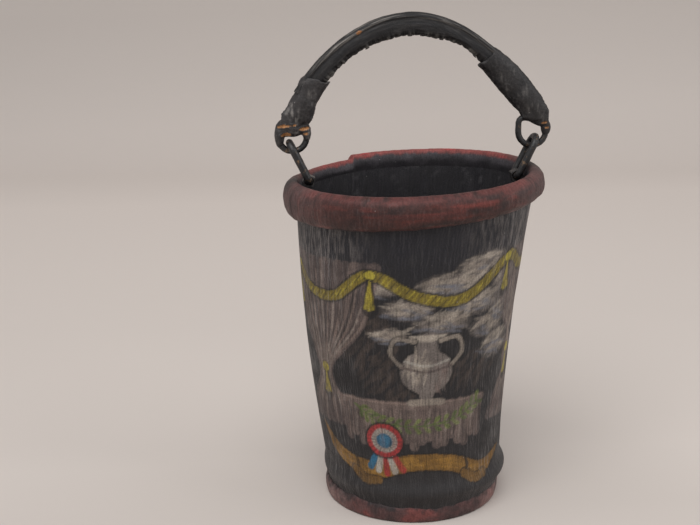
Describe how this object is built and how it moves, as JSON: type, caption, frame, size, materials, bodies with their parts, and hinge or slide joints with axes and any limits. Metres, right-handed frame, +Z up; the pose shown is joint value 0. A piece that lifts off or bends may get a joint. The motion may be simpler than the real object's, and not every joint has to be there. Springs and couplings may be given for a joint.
{
  "type": "fire bucket",
  "caption": "Tapered leather fire bucket with a rolled red rim, a red foot band and a padded bail handle that swings on iron links.",
  "frame": {"origin": "on the floor at the middle of the foot", "axes": "+Z up, +X along the bail axis towards the right link, -Y towards the front of the bucket"},
  "size_m": [0.2554, 0.2446, 0.4638],
  "materials": {
    "black_leather": "worn satin black paint on leather",
    "red_leather": "worn satin red-brown paint on leather",
    "blackened_iron": "black paint on wrought iron",
    "dark_copper": "dull copper",
    "hemp_rope": "laid hemp"
  },
  "bodies": {
    "bucket": {"bucket_wall": "black_leather", "base_disc": "black_leather", "foot_band": "red_leather", "rim_hoop": "blackened_iron", "rim_collar": "red_leather", "left_tab": "black_leather", "right_tab": "black_leather", "left_tab_rivet_front": "dark_copper", "left_tab_rivet_back": "dark_copper", "right_tab_rivet_front": "dark_copper", "right_tab_rivet_back": "dark_copper", "left_tab_rove_front": "dark_copper", "left_tab_rove_back": "dark_copper", "right_tab_rove_front": "dark_copper", "right_tab_rove_back": "dark_copper"},
    "left_link": {"left_link": "blackened_iron"},
    "right_link": {"right_link": "blackened_iron"},
    "handle": {"left_eye_ring": "blackened_iron", "right_eye_ring": "blackened_iron", "handle_core": "hemp_rope", "grip_cover": "black_leather", "left_end_strap": "black_leather", "right_end_strap": "black_leather"}
  },
  "joints": [
    {"name": "bail_swing", "type": "hinge", "parent": "bucket", "child": "handle", "pos_m": [0, 0, 0.33986], "axis": [1, 0, 0], "range_deg": [-96.5, 96.5]},
    {"name": "left_link_swing", "type": "hinge", "parent": "bucket", "child": "left_link", "pos_m": [-0.0974, 0, 0.312], "axis": [0, 1, 0], "range_deg": [0, 6]},
    {"name": "right_link_swing", "type": "hinge", "parent": "bucket", "child": "right_link", "pos_m": [0.0974, 0, 0.312], "axis": [0, -1, 0], "range_deg": [0, 6]}
  ]
}
